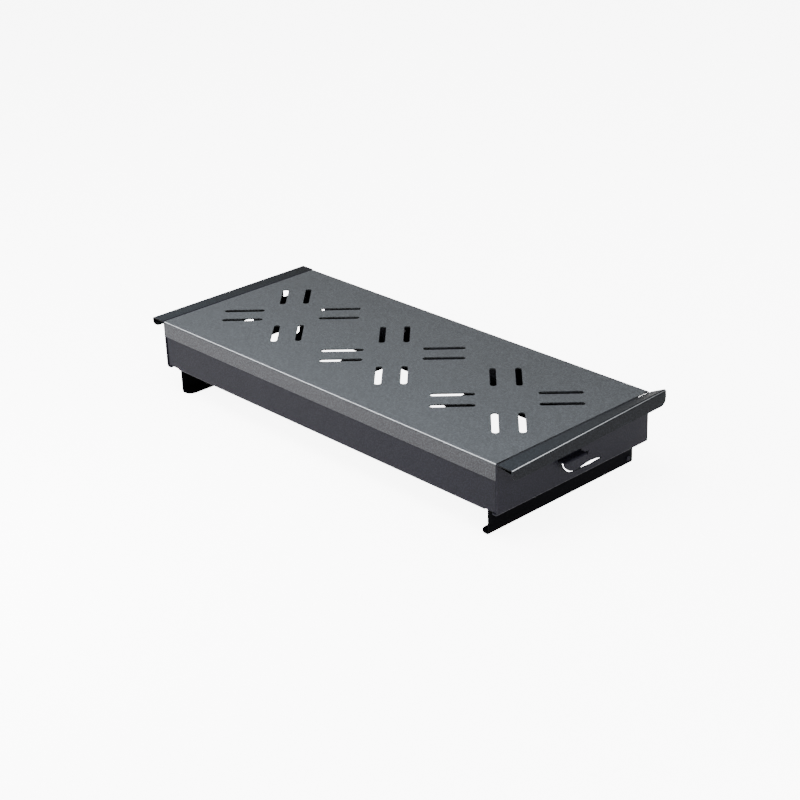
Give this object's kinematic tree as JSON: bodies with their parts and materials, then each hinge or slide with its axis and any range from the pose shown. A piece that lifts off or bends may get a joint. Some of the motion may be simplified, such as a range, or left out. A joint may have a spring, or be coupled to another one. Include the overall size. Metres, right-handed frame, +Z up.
{
  "type": "under desk drawer",
  "caption": "Slim slotted sheet-metal drawer that slides out on ball slides between two brackets screwed to the underside of a desk.",
  "frame": {"origin": "bottom centre: the plane of the brackets' foot flanges, midway between the end lips and between the front and rear edges of the cover", "axes": "+X along the length towards the right end panel, +Y from front to back, +Z up from the foot flanges to the slotted cover"},
  "size_m": [0.646, 0.257, 0.106],
  "materials": {
    "tray_paint": "fine-textured satin powder coat, graphite",
    "bracket_paint": "fine-textured satin powder coat, near black",
    "slide_steel": "zinc-plated, satin",
    "cage_steel": "zinc-plated, dull",
    "ball_steel": "polished",
    "fastener_steel": "blackened zinc",
    "spacer_nylon": "moulded, matte",
    "stop_rubber": "matte"
  },
  "bodies": {
    "mounting_frame": {"bracket_left": "bracket_paint", "bracket_right": "bracket_paint", "rear_tie": "bracket_paint", "tie_rivets": "fastener_steel", "outer_rail_left": "slide_steel", "outer_rail_right": "slide_steel", "bracket_screws": "fastener_steel", "rail_stop_left": "stop_rubber", "rail_stop_right": "stop_rubber"},
    "tray": {"cover_plate": "tray_paint", "front_wall": "tray_paint", "rear_wall": "tray_paint", "end_panel_left": "tray_paint", "end_panel_right": "tray_paint", "side_lip_left": "tray_paint", "side_lip_right": "tray_paint", "finger_pull_left": "tray_paint", "finger_pull_right": "tray_paint", "pull_rivets": "fastener_steel", "rear_strap_left": "bracket_paint", "rear_strap_right": "bracket_paint", "strap_rivets": "fastener_steel", "inner_rail_left": "slide_steel", "inner_rail_right": "slide_steel", "slide_spacer_left": "spacer_nylon", "slide_spacer_right": "spacer_nylon", "panel_screws": "fastener_steel"},
    "cage_left": {"ball_cage_left": "cage_steel", "cage_balls_left": "ball_steel"},
    "cage_right": {"ball_cage_right": "cage_steel", "cage_balls_right": "ball_steel"}
  },
  "joints": [
    {"name": "tray_slide", "type": "slide", "parent": "mounting_frame", "child": "tray", "axis": [0, -1, 0], "range_m": [0, 0.106]},
    {"name": "cage_left_roll", "type": "slide", "parent": "mounting_frame", "child": "cage_left", "axis": [0, -1, 0], "range_m": [0, 0.053]},
    {"name": "cage_right_roll", "type": "slide", "parent": "mounting_frame", "child": "cage_right", "axis": [0, -1, 0], "range_m": [0, 0.053]}
  ],
  "couplings": [
    {"joint": "cage_left_roll", "follows": "tray_slide", "ratio": 0.5},
    {"joint": "cage_right_roll", "follows": "tray_slide", "ratio": 0.5}
  ]
}
